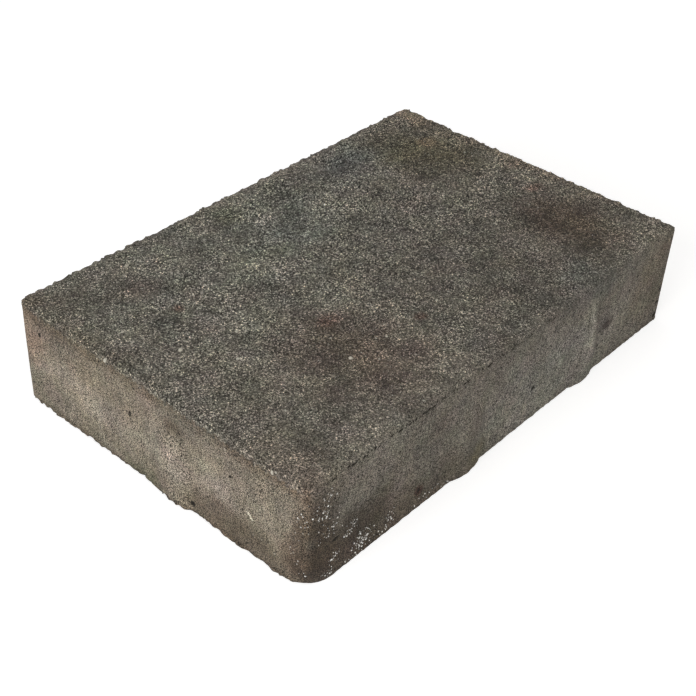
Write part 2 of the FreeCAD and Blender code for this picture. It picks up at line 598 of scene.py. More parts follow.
RED_BROWN = tone(94, 79, 68)
DARK_BROWN = tone(80, 66, 54)
OLIVE = tone(84, 78, 58)
TAN = tone(134, 116, 94)
GREEN = tone(104, 106, 82)
PALE_GREY = tone(132, 130, 119)
BLUE_GREY = tone(84, 89, 88)
PINK = tone(110, 92, 88)
RUST = tone(104, 68, 56)
CHALK = tone(222, 214, 196)

# Later stains lie over earlier ones. Most are stains; those at the nibs are painted light and shade.
STAINS_AND_PAINTED_LIGHT = (
    *placed(
        StainAndPaintedLight, Side.TOP,
        (100, 152, (120, 70), tone(114, 116, 106), 0.4), (20, 60, (50, 90), tone(118, 114, 103), 0.35),
        (86, 50, (42, 48), RED_BROWN, 0.6), (256, 46, (34, 42), DARK_BROWN, 0.85),
        (262, 149, (36, 46), OLIVE, 0.75), (200, 30, (70, 44), tone(86, 82, 74), 0.6),
        (195, 90, (70, 50), tone(88, 85, 78), 0.4), (272, 158, (8, 8), TAN, 0.55),
        (292, 184, (13, 18), TAN, 0.4), (294, 96, (12, 90), TAN, 0.3),
        (128, 181, (13, 12), GREEN, 0.6), (122, 139, (12, 10), GREEN, 0.45),
        (122, 121, (25, 18), PALE_GREY, 0.35), (60, 101, (13, 11), PALE_GREY, 0.4),
        (114, 41, (14, 9), PALE_GREY, 0.25), (144, 151, (34, 30), BLUE_GREY, 0.3),
        (150, 168, (60, 36), tone(120, 121, 110), 0.35), (220, 175, (34, 24), BLUE_GREY, 0.6),
        (220, 8, (22, 12), BLUE_GREY, 0.3), (44, 163, (18, 16), PINK, 0.4),
        (50, 136, (4, 4), RUST, 0.6), (94, 77, (9, 6), RUST, 0.4),
        (130, 47, (5, 4), RUST, 0.5), (274, 81, (8, 5), RUST, 0.4), (6, 20, (22, 30), TAN, 0.15),
    ),
    *placed(
        StainAndPaintedLight, Side.LEFT,
        (190, 42, (14, 19), tone(134, 110, 96), 0.5), (150, 40, (40, 26), tone(130, 118, 104), 0.3),
        # At the nib, 87 along: the pale spot 37 up is a painted highlight on its tapered top; the dark
        # spot 46 up, just above it, is a plain darker patch.
        (110, 26, (90, 16), tone(152, 143, 129), 0.7), (86, 46, (9, 6), tone(86, 74, 60), 0.7),
        (86, 37, (7, 5), tone(158, 150, 132), 0.6), (178, 6, (12, 8), tone(114, 114, 96), 0.15),
        (108, 3, (30, 4), tone(86, 88, 68), 0.5), (36, 7, (48, 13), tone(96, 84, 69), 0.6),
        (60, 9, (26, 13), tone(92, 81, 67), 0.5),
        # A short slanting scratch, as a row of chalky spots.
        *((37.2 - 0.75 * i, 25.7 - 0.7 * i, (0.9, 1.1), CHALK, 1.0) for i in range(5)),
        (168, 57, (60, 12), tone(98, 88, 74), 0.5), (4, 24, (11, 44), tone(92, 76, 62), 0.7),
    ),
    *placed(
        StainAndPaintedLight, Side.FRONT,
        (8, 24, (18, 42), tone(70, 58, 47), 0.85), (34, 12, (40, 28), tone(72, 61, 50), 0.85),
        (88, 6, (50, 18), tone(84, 74, 60), 0.6), (77, 11, (4, 4), tone(70, 42, 34), 0.8),
        (122, 8, (10, 9), tone(98, 90, 54), 0.7), (282, 34, (26, 36), tone(112, 100, 82), 0.5),
        # At the second nib, 216 along: the pale streak at 216 is a painted highlight on its lit flank, the
        # dark streak at 224 is painted shade on its far flank, and the dark spot at 236 is painted shade
        # beside the nib.
        (184, 16, (78, 34), tone(148, 145, 135), 0.65), (216, 31, (4, 22), tone(172, 167, 154), 0.75),
        (224, 34, (4, 24), tone(92, 86, 78), 0.5), (162, 11, (3, 9), tone(140, 135, 120), 0.6),
        # The pale streak at 108 is a painted highlight on the lit flank of the first nib.
        (108, 34, (5, 22), tone(122, 118, 104), 0.5), (290, 52, (8, 10), tone(96, 78, 68), 0.25),
        (175, 50, (60, 16), tone(128, 124, 114), 0.5), (236, 27, (7, 6), tone(58, 50, 44), 0.85),
    ),
    *placed(
        StainAndPaintedLight, Side.BACK,
        (60, 22, (50, 26), tone(92, 82, 68), 0.5), (170, 34, (60, 26), tone(122, 118, 107), 0.5),
        (250, 10, (44, 18), tone(82, 74, 60), 0.6), (214, 12, (6, 6), tone(80, 52, 42), 0.6),
    ),
    *placed(
        StainAndPaintedLight, Side.RIGHT,
        (50, 30, (40, 20), tone(136, 126, 112), 0.5), (150, 16, (40, 18), tone(98, 88, 72), 0.5),
        (110, 40, (14, 8), tone(88, 76, 62), 0.5),
    ),
)

DENTS = (
    *placed(
        Dent, Side.FRONT,
        (18, 22, (3, 1.5), 0.7), (77, 11, (1.6, 1.8), 0.5), (168, 21, (1.6, 2), 0.3),
        (293.4, 22, (1.2, 2.2), 0.8), (292.2, 13.5, (1.6, 1.2), 0.6), (293, 3.6, (2.2, 2.4), 1.2),
    ),
    *placed(
        Dent, Side.LEFT,
        (74, 5.6, (2.4, 2), 1.0), (116.4, 36, (1.2, 2.4), 0.5), (48, 40, (1.3, 1.3), 0.5),
        (183, 47, (1.4, 2), 0.5),
    ),
    *placed(Dent, Side.BACK, (96, 18, (2.2, 1.8), 1.1), (232, 40, (1.8, 2.4), 1.0)),
    *placed(Dent, Side.RIGHT, (62, 14, (2, 2), 1.2)),
)

CRUMBS = (
    *placed(
        CrumbCluster, Side.FRONT,
        (9, 44, (6, 7), 46), (14, 52, (3, 3), 11), (12, 31, (7, 5), 30), (27, 22, (5, 4), 35),
        (37, 9, (5.5, 5), 81), (55, 10, (3, 2.5), 18), (54, 4, (5, 2), 12), (17, 11, (3.5, 3), 20),
        (13, 4, (3.5, 2.5), 16), (28, 2, (9, 1.5), 14), (87, 5, (6, 3), 12), (98, 1.5, (20, 1), 7),
    ),
    *placed(CrumbCluster, Side.LEFT, (4, 42, (4, 9), 16), (6, 16, (6, 9), 8)),
)

PEBBLES = (
    *placed(Pebble, Side.LEFT, (131, 60, 1.5), (22, 59.5, 1.1), (96, 60.5, 0.9)),
    *placed(
        Pebble, Side.TOP,
        (28, 110, 1.3), (57, 102, 1.1), (60, 99, 0.9), (18, 140, 1.0), (42, 86, 1.0), (63, 120, 1.0),
        (80, 49, 1.3), (105, 48, 1.0), (129, 79, 0.9), (146, 50, 0.9), (204, 115, 1.0),
        (176, 141, 0.9), (248, 92, 0.9),
    ),
)


# ---- Finishes ----


def slab_place(wiring: Wiring) -> Socket:
    """Return where a surface is in the slab's frame, in millimetres."""
    return wiring.scaled(wiring.add("TexCoord").outputs["Object"], 1 / MM)


@dataclass(frozen=True)
class Surface:
    """What each layer of the concrete reads: the tree, the groups and where on the slab it is."""

    wiring: Wiring
    groups: SharedGroups
    place: Socket
    zones: Outputs
    not_worn: Socket

    def pores(self, place: Input, pattern: Triple) -> Socket:
        """Return the mask of air pores with one spacing, width and share of open ones."""
        spacing, width, share = pattern
        inputs = {"Place": place, "Spacing": spacing, "Width": width, "Share": share}
        return self.wiring.group(self.groups.pores, **inputs)["Mask"]


@dataclass(frozen=True)
class ConcreteFinish:
    """Cast concrete: granular on the wearing face, streaked and pored on the sides.

    Streaks have a width and a strength, and pores a spacing, a width and the share that is there.
    What the short sides or the wearing face have on top of the rest is in fields of its own.
    """

    wearing: Colour = tone(115, 110, 100)
    # The short sides are coloured lighter than the long ones: partly their own tone, partly painted light
    # from the lamp on the left.
    short_side: Colour = tone(128, 119, 105)
    long_side: Colour = tone(118, 112, 102)
    bed: Colour = tone(112, 106, 95)
    brow: Colour = tone(92, 78, 62)
    # The darker colour the sides take towards the foot.
    foot_dark_colour: Colour = tone(74, 64, 50)
    # Near-black colour put in pores and dents: painted shade in the hollows.
    hollow_shade: Colour = tone(30, 27, 22)
    quartz: Colour = tone(206, 201, 186)

    brow_strength: float = 0.95
    foot_strength: float = 0.3
    short_foot_strength: float = 0.4
    unevenness: float = 0.28
    worn_unevenness: float = 0.14
    hue_drift: float = 0.2
    fine_streaks: tuple[float, float] = (1.3, 0.45)
    broad_streaks: tuple[float, float] = (5.0, 0.35)

    grain_size: float = 0.58
    grain_levels: tuple[tuple[float, float], ...] = (
        (0.1, 0.03), (0.33, 0.3), (0.55, 0.82), (0.72, 1.7), (0.84, 4.1), (0.95, 9.5)
    )
    grain_mean: float = 1.28
    grain_crispness: tuple[float, float] = (0.93, 1.22)
    grain_through_paste: float = 0.7
    paste_strength: float = 1.3
    short_paste_strength: float = 0.25
    bare_share: tuple[float, float] = (0.66, 1.0)
    pasted_end: tuple[float, float] = (0.74, 1.0)

    small_pores: Triple = (1.35, 0.4, 0.6)
    large_pores: Triple = (8.0, 0.95, 0.3)
    arris_pores: Triple = (1.9, 1.0, 0.4)
    quartz_specks: Triple = (5.2, 0.55, 0.6)
    specks_apart: Triple = (3.1, 5.3, 1.7)
    # How far pores and dents are darkened: painted shade in the hollows.
    pore_shade_strength: float = 0.85
    dent_shade_strength: float = 0.95

    hole_depth: float = 0.9
    streak_depth: float = 0.2
    relief: float = 0.6
    roughness: tuple[float, float] = (0.92, 0.5)
    specular: float = 0.3

    broad_cloud: float = 15.0
    spot_cloud: float = 2.0
    cloud_depths: tuple[float, float] = (12.0, 22.0)
    broad_pushes: tuple[tuple[float, float], ...] = ((26.0, 20.0), (6.0, 7.0), (1.6, 2.5))
    close_pushes: tuple[tuple[float, float], ...] = ((6.0, 3.0), (1.6, 2.5))

    def build(self, groups: SharedGroups) -> bpy.types.Material:
        """Make the material.

        Args:
            groups: The shared node groups.

        Returns:
            The new material.
        """
        material, wiring = new_material("cast_concrete")
        place = slab_place(wiring)
        zones = wiring.group(groups.zones, Place=place, Half_Size=(LENGTH / 2, WIDTH / 2, THICKNESS))
        surface = Surface(wiring, groups, place, zones, wiring.minus(1.0, zones["Wearing"]))
        sand = wiring.group(groups.sand, Place=place, Size=self.grain_size)
        on_side = wiring.math("SUBTRACT", surface.not_worn, zones["Bed"], clamp=True)
        streaks, broad = (
            wiring.group(groups.streaks, Place=place, Width=width)["Level"]
            for width, _ in (self.fine_streaks, self.broad_streaks)
        )

        colour = self.clouds(surface, self.plain(surface))
        for factor in (*self.mottling(surface), self.grain(surface, sand["Level"])):
            colour = wiring.tinted(colour, factor)
        drag = wiring.line(streaks, self.fine_streaks[1], wiring.times(broad, self.broad_streaks[1]))
        colour = wiring.tinted(colour, wiring.line(drag, on_side, 1.0))
        holes = self.holes(surface)
        # Painted shade: pores and dents are darkened, standing in for the shade that falls in these
        # hollows.
        cavity = wiring.spread(wiring.add("Attribute", attribute_name="cavity").outputs["Fac"], 0.05, 0.45)
        cavity = wiring.times(cavity, self.dent_shade_strength)
        dark = wiring.math("MAXIMUM", wiring.times(holes, self.pore_shade_strength), cavity)
        glint = self.glint(surface, sand["Glint"])
        colour = wiring.mix(glint, wiring.mix(dark, colour, self.hollow_shade), self.quartz)

        relief = wiring.times(sand["Relief"], wiring.line(zones["Wearing"], 0.7, 0.3))
        relief = wiring.line(holes, -self.hole_depth, relief)
        relief = wiring.line(wiring.times(streaks, on_side), self.streak_depth, relief)
        bump = wiring.add("Bump", {"Strength": 1.0, "Distance": self.relief * MM, "Height": relief})
        rough = wiring.spread(glint, 0.0, 1.0, *self.roughness)
        inputs = {"Base Color": colour, "Roughness": rough, "Normal": bump.outputs[0]}
        shader = wiring.add("BsdfPrincipled", {**inputs, "Specular IOR Level": self.specular})
        wiring.add("OutputMaterial", {"Surface": shader.outputs[0]})
        return material

    def plain(self, surface: Surface) -> Socket:
        """Colour each part of the slab as it is under its stains and its grain.

        Args:
            surface: The surface to colour.

        Returns:
            The plain colour.
        """
        wiring, zones = surface.wiring, surface.zones
        side = wiring.mix(zones["Short"], self.long_side, self.short_side)
        plain = wiring.mix(zones["Wearing"], side, self.wearing)
        brow = wiring.times(wiring.times(zones["Brow"], zones["Short"]), self.brow_strength)
        # The sides darken towards the foot, more on the short sides.
        foot = wiring.line(zones["Short"], self.short_foot_strength, self.foot_strength)
        foot = wiring.times(foot, zones["Foot"])
        for share, colour in ((brow, self.brow), (foot, self.foot_dark_colour)):
            plain = wiring.mix(wiring.times(share, surface.not_worn), plain, colour)
        return wiring.mix(zones["Bed"], plain, self.bed)

    def mottling(self, surface: Surface) -> tuple[Socket, Socket]:
        """Let the tone and the hue wander over the slab.

        Args:
            surface: The surface to colour.

        Returns:
            The two factors of the colour, for its hue and for its tone.
        """
        wiring = surface.wiring
        mottling = wiring.group(surface.groups.mottling, Place=surface.place)
        drift = wiring.vector("ADD", wiring.scaled(mottling["Hue"], self.hue_drift), (1.0, 1.0, 1.0))
        unevenness = wiring.line(surface.zones["Wearing"], self.worn_unevenness, self.unevenness)
        return drift, wiring.line(mottling["Level"], unevenness, 1.0)

    def grain(self, surface: Surface, level: Input) -> Socket:
        """Show open sand on the wearing face, and sand closed over by paste elsewhere.

        The open sand is crisper towards the back, and more closed over towards the left end.

        Args:
            surface: The surface to colour.
            level: The level of each sand grain.

        Returns:
            The factor of the colour.
        """
        wiring, zones = surface.wiring, surface.zones
        along, across, _ = wiring.split(surface.place)
        stops = [(spot, (height, height, height, 1.0)) for spot, height in self.grain_levels]
        open_grain = wiring.minus(wiring.ramp(level, stops), self.grain_mean)
        crispness = wiring.spread(across, -WIDTH / 2, WIDTH / 6, *self.grain_crispness)
        open_grain = wiring.math("MAXIMUM", wiring.line(open_grain, crispness, self.grain_mean), 0.0)
        paste = wiring.group(surface.groups.paste, Place=surface.place)["Level"]
        closed = wiring.line(wiring.minus(level, 0.5), self.grain_through_paste, paste)
        strength = wiring.line(zones["Short"], self.short_paste_strength, self.paste_strength)
        closed = wiring.line(wiring.minus(closed, 1.0), strength, 1.0)
        patches = wiring.noise(surface.place, 17.0, 3.0, 0.6)[0]
        bare = wiring.spread(patches, 0.36, 0.6, *self.bare_share)
        pasted_end = wiring.spread(along, -LENGTH / 2, LENGTH / 6, *self.pasted_end)
        bare = wiring.times(bare, wiring.times(pasted_end, zones["Wearing"]))
        return wiring.mix(bare, closed, open_grain)

    def holes(self, surface: Surface) -> Socket:
        """Open air pores: small and large ones all over, and a row along the long arrises.

        Args:
            surface: The surface to colour.

        Returns:
            The mask of the pores.
        """
        wiring, zones = surface.wiring, surface.zones
        patterns = (self.small_pores, self.large_pores, self.arris_pores)
        small, large, row = (surface.pores(surface.place, pattern) for pattern in patterns)
        small = wiring.times(small, wiring.line(zones["Short"], 0.5, 0.5))
        holes = wiring.math("MAXIMUM", small, large)
        holes = wiring.times(holes, wiring.line(surface.not_worn, 0.75, 0.25))
        # Darkened like the other pores, this row also paints a thin line of shade along the arrises.
        return wiring.math("MAXIMUM", holes, wiring.times(row, zones["Arris"]))

    def glint(self, surface: Surface, chosen: Input) -> Socket:
        """Let quartz show: a few sand grains and a scatter of larger specks.

        Args:
            surface: The surface to colour.
            chosen: The mask of the sand grains that are quartz.

        Returns:
            The mask of the quartz.
        """
        wiring = surface.wiring
        specks = surface.pores(wiring.vector("ADD", surface.place, self.specks_apart), self.quartz_specks)
        quartz = wiring.math("MAXIMUM", wiring.times(chosen, 0.5), specks)
        return wiring.times(quartz, wiring.line(surface.zones["Wearing"], 0.6, 0.3))

    def ragged(self, surface: Surface, pushes: Iterable[tuple[float, float]]) -> Socket:
        """Push a place about by noise, so that clouds have broken outlines.

        Args:
            surface: The surface to colour.
            pushes: Pairs of the size of the noise and how far it pushes.

        Returns:
            The pushed place.
        """
        wiring = surface.wiring
        total = surface.place
        for size, push in pushes:
            wander = wiring.scaled(wiring.drift(surface.place, size, 1.0), push)
            total = wiring.vector("ADD", total, wander)
        return total

    def clouds(self, surface: Surface, base: Input) -> Socket:
        """Lay the stains and the patches of painted light and shade over a colour, broad ones with ragged
        outlines and spots with plain ones.

        Args:
            surface: The surface to colour.
            base: The colour under all the stains and painted light.

        Returns:
            The stained colour.
        """
        wiring = surface.wiring
        broad, close = (self.ragged(surface, pushes) for pushes in (self.broad_pushes, self.close_pushes))
        for stain_and_light in STAINS_AND_PAINTED_LIGHT:
            size = max(stain_and_light.reach)
            place = close if size > self.spot_cloud else surface.place
            mask = wiring.group(
                surface.groups.stain_and_light,
                Place=broad if size > self.broad_cloud else place,
                Middle=stain_and_light.place,
                Reach=stain_and_light.side.reach(*stain_and_light.reach, self.cloud_depths[stain_and_light.side is Side.TOP]),
                Strength=stain_and_light.strength,
            )
            base = wiring.mix(mask["Mask"], base, stain_and_light.colour)
        return base


@dataclass(frozen=True)
class MineralFinish:
    """Loose or half-sunk mineral grains, from dark stone through sand to white quartz."""

    name: str
    stops: tuple[tuple[float, Colour], ...]
    rough: float
    grain_size: float = 0.5
    unevenness: float = 0.15
    bump_strength: float = 0.6
    relief: float = 0.1

    def build(self, groups: SharedGroups) -> bpy.types.Material:
        """Make the material, which takes each grain's tint from the mesh.

        Args:
            groups: The shared node groups.

        Returns:
            The new material.
        """
        material, wiring = new_material(self.name)
        place = slab_place(wiring)
        tint = wiring.add("Attribute", attribute_name="tint").outputs["Fac"]
        sand = wiring.group(groups.sand, Place=place, Size=self.grain_size)
        mottling = wiring.group(groups.mottling, Place=place)
        speckle = wiring.spread(sand["Level"], 0.1, 0.9, 0.75, 1.25)
        speckle = wiring.line(mottling["Level"], self.unevenness, speckle)
        colour = wiring.tinted(wiring.ramp(tint, self.stops), speckle)
        relief = {"Strength": self.bump_strength, "Distance": self.relief * MM, "Height": sand["Relief"]}
        bump = wiring.add("Bump", relief)
        rough = wiring.spread(sand["Level"], 0.1, 0.9, self.rough, self.rough + 0.2)
        inputs = {"Base Color": colour, "Roughness": rough, "Normal": bump.outputs[0]}
        shader = wiring.add("BsdfPrincipled", inputs)
        wiring.add("OutputMaterial", {"Surface": shader.outputs[0]})
        return material


SAND_FINISH = MineralFinish(
    "exposed_sand",
    (
        (0.0, tone(52, 49, 43)),
        (0.3, tone(84, 79, 68)),
        (0.6, tone(112, 108, 96)),
        (0.85, tone(158, 152, 136)),
        (1.0, tone(214, 209, 196)),
    ),
    0.55,
)
LIME_FINISH = MineralFinish("lime_crumbs", ((0.0, tone(232, 229, 220)), (1.0, tone(254, 253, 250))), 0.75)


@dataclass(frozen=True)
class FloorFinish:
    """A pale floor that reads white and keeps the slab's soft shadow."""

    colour: Colour = (0.72, 0.72, 0.72, 1.0)
    speckle: Colour = (0.74, 0.74, 0.74, 1.0)
    speckle_size: float = 0.4
    lift: float = 0.6

    def build(self) -> bpy.types.Material:
        """Make the material, which adds light only to what the camera sees of the floor.

        Returns:
            The new material.
        """
        material, wiring = new_material("pale_floor")
        place = wiring.add("TexCoord").outputs["Object"]
        tint = wiring.mix(wiring.noise(place, self.speckle_size, 2.0)[0], self.colour, self.speckle)
        inputs = {"Base Color": tint, "Roughness": 0.9, "Specular IOR Level": 0.1}
        plain = wiring.add("BsdfPrincipled", inputs)
        strength = wiring.times(wiring.shown(), self.lift)
        glow = wiring.add("Emission", {"Color": WHITE, "Strength": strength})
        both = wiring.add("AddShader", {0: plain.outputs[0], 1: glow.outputs[0]})
        wiring.add("OutputMaterial", {"Surface": both.outputs[0]})
        return material


# ---- The slab ----


@dataclass
class Skin:
    """The weathered outside of the slab: its points and the direction out of it at each."""

    places: np.ndarray
    normals: np.ndarray


def add_piece(name: str, mesh: bpy.types.Mesh, material: bpy.types.Material) -> bpy.types.Object:
    """Show a mesh as a piece of the slab, in its one material.

    Args:
        name: The piece's name.
        mesh: Its mesh.
        material: Its finish.

    Returns:
        The new object.
    """
    mesh.materials.append(material)
    piece = bpy.data.objects.new(name, mesh)
    bpy.context.scene.collection.objects.link(piece)
    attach(piece, BODY)
    log.info("%s: %d points, %d faces", name, len(mesh.vertices), len(mesh.polygons))
    return piece


@dataclass
class Slab:
    """The cast slab as one closed mesh, which stands for the construction's plain solid.

    Each layer of grain, burr and teeth is a height and the size of its bumps.
    """

    finish: ConcreteFinish
    corner_radius: float = 3.0
    worn_radius: float = 5.0
    top_arris: float = 1.5
    nib_chord: float = 24.0
    nib_depth: float = NIB_DEPTH
    nib_height: float = 42.0
    nib_taper: float = 7.0
    nib_long_place: float = 114.0
    nib_long_pitch: float = 102.0
    nib_short_place: float = 87.0
    chip_reach: float = 16.0
    chip_height: float = 14.0
    step: float = 1.25
    edge_steps: tuple[float, ...] = (0.4, 0.4, 0.5, 0.7, 1.0)
    seed: int = 7

    wall_wave: Layers = ((0.16, 45.0),)
    top_grain: Layers = ((0.09, 1.5), (0.08, 2.4), (0.10, 7.0))
    side_grain: Layers = ((0.045, 1.6), (0.07, (2.2, 2.2, 20.0)), (0.07, 9.0))
    rim_grain: Layers = ((0.8, 1.35), (0.5, 2.8))
    rim_loss: float = 1.1
    crisp_short: float = 0.6
    crisp_loss: float = 0.6
    bed_grain: Layers = ((0.25, 2.6), (0.25, 6.0))
    burr: Layers = ((0.7, 1.7), (0.55, 4.4))
    teeth: Layers = ((0.9, 2.7), (0.5, 1.4))
    tooth_height: float = 1.7
    dent_reach_inwards: float = 2.6
    pits_from: float = 12.0
    pits_to: float = 180.0

    def build(self, groups: SharedGroups) -> Skin:
        """Make the slab's object in place of the construction's.

        Args:
            groups: The shared node groups.

        Returns:
            The slab's finished skin, for grains to sit on.
        """
        places, faces = self.box_skin()
        places = self.cast(places)
        mesh = bpy.data.meshes.new("weathered_slab")
        mesh.from_pydata(places * MM, [], faces)
        places, cavity = self.weather(places, self.directions(mesh))
        mesh.vertices.foreach_set("co", (places * MM).ravel())
        mesh.attributes.new("cavity", "FLOAT", "POINT").data.foreach_set("value", cavity)
        mesh.shade_smooth()
        mesh.update()
        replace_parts(add_piece("weathered_slab", mesh, self.finish.build(groups)), NODE)
        return Skin(places, self.directions(mesh))

    def directions(self, mesh: bpy.types.Mesh) -> np.ndarray:
        """Find which way is out of a mesh.

        Args:
            mesh: A closed mesh.

        Returns:
            The outward direction at each of its points.
        """
        normals = np.empty(len(mesh.vertices) * 3)
        mesh.vertex_normals.foreach_get("vector", normals)
        return normals.reshape(-1, 3)

    def graded(self, span: float) -> np.ndarray:
        """Divide a span into an even number of steps, closer together at both ends.

        Args:
            span: The length to divide.

        Returns:
            The places of the steps, from 0 to the span.
        """
        edge = np.cumsum((0.0, *self.edge_steps))
        middle = span - 2 * edge[-1]
        inner = edge[-1] + np.linspace(0, middle, 2 * round(middle / self.step / 2) + 1)
        return np.concatenate((edge[:-1], inner, span - edge[-2::-1]))

    def box_skin(self) -> tuple[np.ndarray, list]:
        """Lay a grid over a plain box, coarser on the bed face.

        Returns:
            The points of the closed skin and its faces.
        """
        xs = self.graded(LENGTH) - LENGTH / 2
        ys = self.graded(WIDTH) - WIDTH / 2
        zs = self.graded(THICKNESS)
        across, along, up = len(xs) - 1, len(ys) - 1, len(zs) - 1
        ring = [(i, 0) for i in range(across)] + [(across, j) for j in range(along)]
        ring += [(across - i, along) for i in range(across)] + [(0, along - j) for j in range(along)]
        places = [(xs[i], ys[j], z) for z in zs for i, j in ring]
        round_ring = len(ring)
        faces = [
            (k * round_ring + r, k * round_ring + s, (k + 1) * round_ring + s, (k + 1) * round_ring + r)
            for k in range(up)
            for r, s in zip(range(round_ring), [*range(1, round_ring), 0])
        ]
        bed = {spot: index for index, spot in enumerate(ring)}
        top = {spot: up * round_ring + index for index, spot in enumerate(ring)}
        for i in range(1, across):
            for j in range(1, along):
                top[i, j] = len(places)
                places.append((xs[i], ys[j], THICKNESS))
        for i in range(2, across, 2):
            for j in range(2, along, 2):
                bed[i, j] = len(places)
                places.append((xs[i], ys[j], 0.0))
        faces += [
            (top[i, j], top[i + 1, j], top[i + 1, j + 1], top[i, j + 1])
            for i in range(across)
            for j in range(along)
        ]
        walk = ((0, 0), (0, 1), (0, 2), (1, 2), (2, 2), (2, 1), (2, 0), (1, 0))
        faces += [
            tuple(bed[i + a, j + b] for a, b in walk if (i + a, j + b) in bed)
            for i in range(0, across, 2)
            for j in range(0, along, 2)
        ]
        return np.array(places), faces

    def cast(self, places: np.ndarray) -> np.ndarray:
        """Turn the plain box into the cast shape: top arris, corners, worn foot and nibs.

        Args:
            places: Points on the box's skin.

        Returns:
            The same points on the cast shape.
        """
        x, y, z = places.T
        half = np.array([LENGTH / 2, WIDTH / 2])
        inset = np.minimum(half[0] - abs(x), half[1] - abs(y))
        new_inset, new_height = self.round_arris(inset, z)
        worn = (x < 0) & (y < 0)
        share = np.clip(z / self.chip_height, 0, 1)
        foot_radius = self.chip_reach + (self.worn_radius - self.chip_reach) * share
        radius = np.where(worn, foot_radius, self.corner_radius)
        beyond = abs(places[:, :2]) - (half - radius[:, None])
        reach = beyond.max(axis=1)
        new_reach = reach + inset - new_inset
        in_corner = beyond.min(axis=1) > 0
        direction = beyond / np.maximum(np.hypot(*beyond.T), 1e-9)[:, None]
        straight = np.where(beyond >= reach[:, None], new_reach[:, None], beyond)
        beyond = np.where(in_corner[:, None], direction * new_reach[:, None], straight)
        flat = np.sign(places[:, :2]) * (beyond + half - radius[:, None])
        out = self.nib_reach(places, new_height) * smooth_step(8.0, 0.0, inset)[:, None]
        return np.column_stack((flat + out, new_height))

    def round_arris(self, inset: np.ndarray, height: np.ndarray) -> tuple[np.ndarray, np.ndarray]:
        """Round the edge between the wearing face and the sides.

        Args:
            inset: How far each point is in from the sides.
            height: How high it is.

        Returns:
            The new inset and the new height of each point.
        """
        radius = self.top_arris
        side, up = radius - inset, radius - (THICKNESS - height)
        near = (side > 0) & (up > 0)
        shrink = np.where(near, np.maximum(side, up) / np.maximum(np.hypot(side, up), 1e-9), 1.0)
        new_inset = np.where(near, radius - side * shrink, inset)
        new_height = np.where(near, THICKNESS - radius + up * shrink, height)
        return new_inset, new_height

    def nib_reach(self, places: np.ndarray, height: np.ndarray) -> np.ndarray:
        """Find how far the nibs push each point of the sides outwards.

        Args:
            places: Points on the plain box.
            height: How high each of them is once the arris is round.

        Returns:
            The push along X and Y.
        """
        boss = self.nib_chord**2 / (8 * self.nib_depth) + self.nib_depth / 2
        taper_foot = self.nib_height - self.nib_taper
        lost = self.nib_depth * np.clip((height - taper_foot) / self.nib_taper, 0, 1)
        out = np.zeros((len(places), 2))
        first = self.nib_long_place - LENGTH / 2
        spots = [(1, first), (1, first + self.nib_long_pitch), (0, self.nib_short_place - WIDTH / 2)]
        for axis, spot in spots:
            half = (LENGTH, WIDTH)[axis] / 2
            for turn in (-1, 1):
                along = -turn * places[:, 1 - axis] - spot
                rise = np.sqrt(np.maximum((boss - lost) ** 2 - along**2, 0)) - (boss - self.nib_depth)
                on_side = turn * places[:, axis] > half - 9.0
                out[:, axis] += turn * np.where(on_side, np.maximum(rise, 0), 0)
        return out

    def weather(self, places: np.ndarray, normals: np.ndarray) -> tuple[np.ndarray, np.ndarray]:
        """Give the cast shape its grain, ragged edges, burr, pits and waves.

        Args:
            places: Points on the cast shape.
            normals: The outward direction at each point.

        Returns:
            The weathered points, and how deep in a pit each of them is, from 0 to 1.
        """
        x, y, z = places.T
        half_x, half_y = LENGTH / 2, WIDTH / 2
        inset = np.minimum(half_x - abs(x), half_y - abs(y))
        on_top = smooth_step(THICKNESS - 2.5, THICKNESS - 0.6, z)
        on_bed = smooth_step(0.6, 0.1, z) * smooth_step(0.5, 2.0, inset)
        rim = smooth_step(3.2, 0.6, np.hypot(inset, THICKNESS - z))
        foot = smooth_step(2.6, 0.3, z) * smooth_step(2.4, 0.4, inset)
        on_side = (1 - on_top) * (1 - on_bed)
        on_short = smooth_step(half_x - 6.0, half_x - 2.0, abs(x))
        crisp = smooth_step(half_y - 8.0, half_y - 3.0, -y)
        crisp = np.maximum(crisp, self.crisp_short * smooth_step(half_x - 8.0, half_x - 3.0, -x))

        def rough(layers: Layers, salt: int) -> np.ndarray:
            """Return the sum of a few layers of noise at every point."""
            total = np.zeros(len(places))
            for i, (height, size) in enumerate(layers):
                total += height * lattice_noise(places, size, self.seed + salt + i)
            return total

        out = rough(self.wall_wave, 1)
        out += on_top * rough(self.top_grain, 2)
        out += on_side * rough(self.side_grain, 5)
        out += rim * (rough(self.rim_grain, 8) - 0.2) * (1.0 - self.crisp_loss * crisp)
        out -= rim * self.rim_loss * smooth_step(0.5, 0.95, lattice_noise(places, 7.0, self.seed + 10))
        out += on_bed * (rough(self.bed_grain, 11) - 0.3)
        out += foot * rough(self.burr, 13) * (0.25 + 0.75 * on_short)
        cavity = np.zeros(len(places))
        depth = np.zeros(len(places))
        for dent in (*DENTS, *self.arris_dents()):
            reach = dent.side.reach(*dent.reach, self.dent_reach_inwards)
            away = (places - dent.place) / reach
            share = smooth_step(1.0, 0.25, np.sqrt((away**2).sum(axis=1)))
            cavity = np.maximum(cavity, share)
            depth = np.maximum(depth, share * dent.depth)
        weathered = places + normals * (out - depth)[:, None]
        tooth = np.maximum(0, rough(self.teeth, 15)) * (0.35 + 0.65 * on_short)
        weathered[:, 2] = np.clip(weathered[:, 2] + foot * self.tooth_height * tooth, 0.0, None)
        return weathered, cavity

